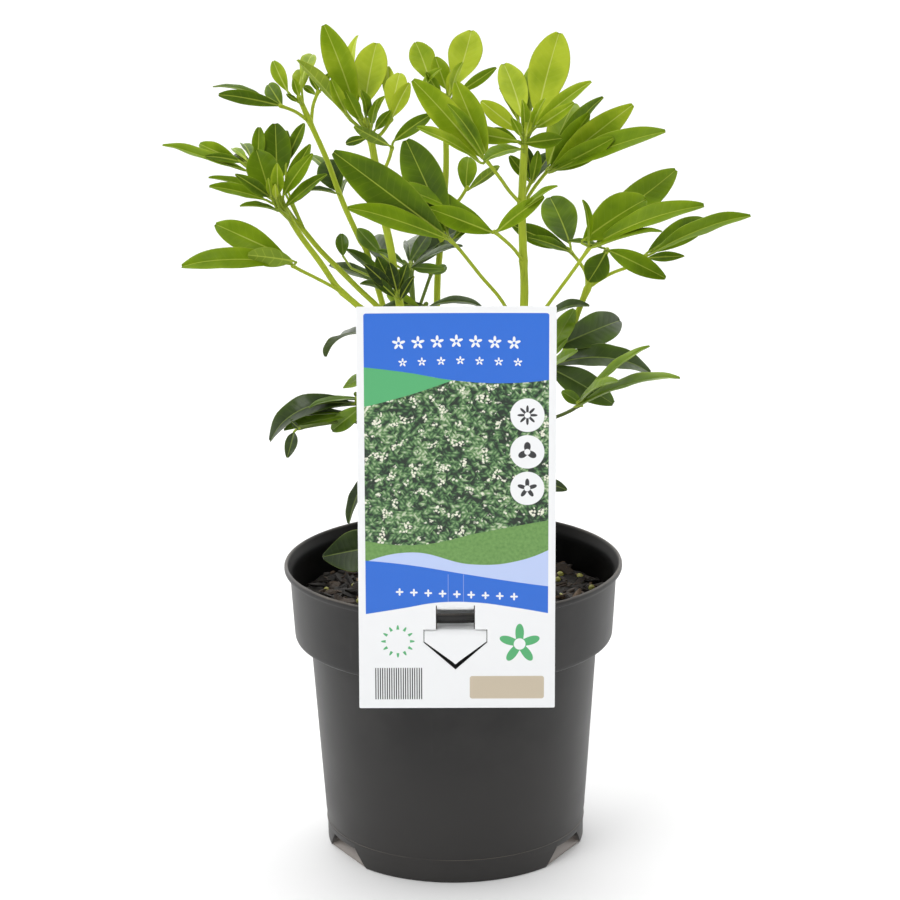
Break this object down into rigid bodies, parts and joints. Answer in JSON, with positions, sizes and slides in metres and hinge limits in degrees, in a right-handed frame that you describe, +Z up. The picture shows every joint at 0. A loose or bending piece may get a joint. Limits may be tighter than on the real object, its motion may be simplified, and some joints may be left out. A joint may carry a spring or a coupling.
{
  "type": "potted mexican orange blossom",
  "caption": "Evergreen shrub with three-part glossy leaves on upright stems, in a black nursery pot of potting mix with a hang label on its lip.",
  "frame": {"origin": "centre of the pot's underside, on the surface that it stands on", "axes": "+Z up along the pot's axis, -Y towards the face with the label, +X to the right seen from there"},
  "size_m": [0.2363, 0.1786, 0.3434],
  "materials": {
    "pot_plastic": "moulded black polypropylene with a low sheen",
    "potting_mix": "composted bark and peat, rough",
    "label_card": "printed plastic card, low gloss",
    "young_foliage": "waxy young leaves, yellow green",
    "old_foliage": "waxy old leaves, dark green"
  },
  "bodies": {
    "root": {"pot": "pot_plastic", "potting_mix": "potting_mix", "label": "label_card", "stem_tall": "young_foliage", "stem_thick": "young_foliage", "stem_left": "young_foliage", "stem_inner_left": "young_foliage", "stem_upper_left": "young_foliage", "stem_centre": "young_foliage", "stem_right": "young_foliage", "shoot_low_left": "old_foliage", "shoot_low_right": "old_foliage", "shoot_low_middle": "old_foliage", "shoot_back": "old_foliage"}
  },
  "joints": []
}
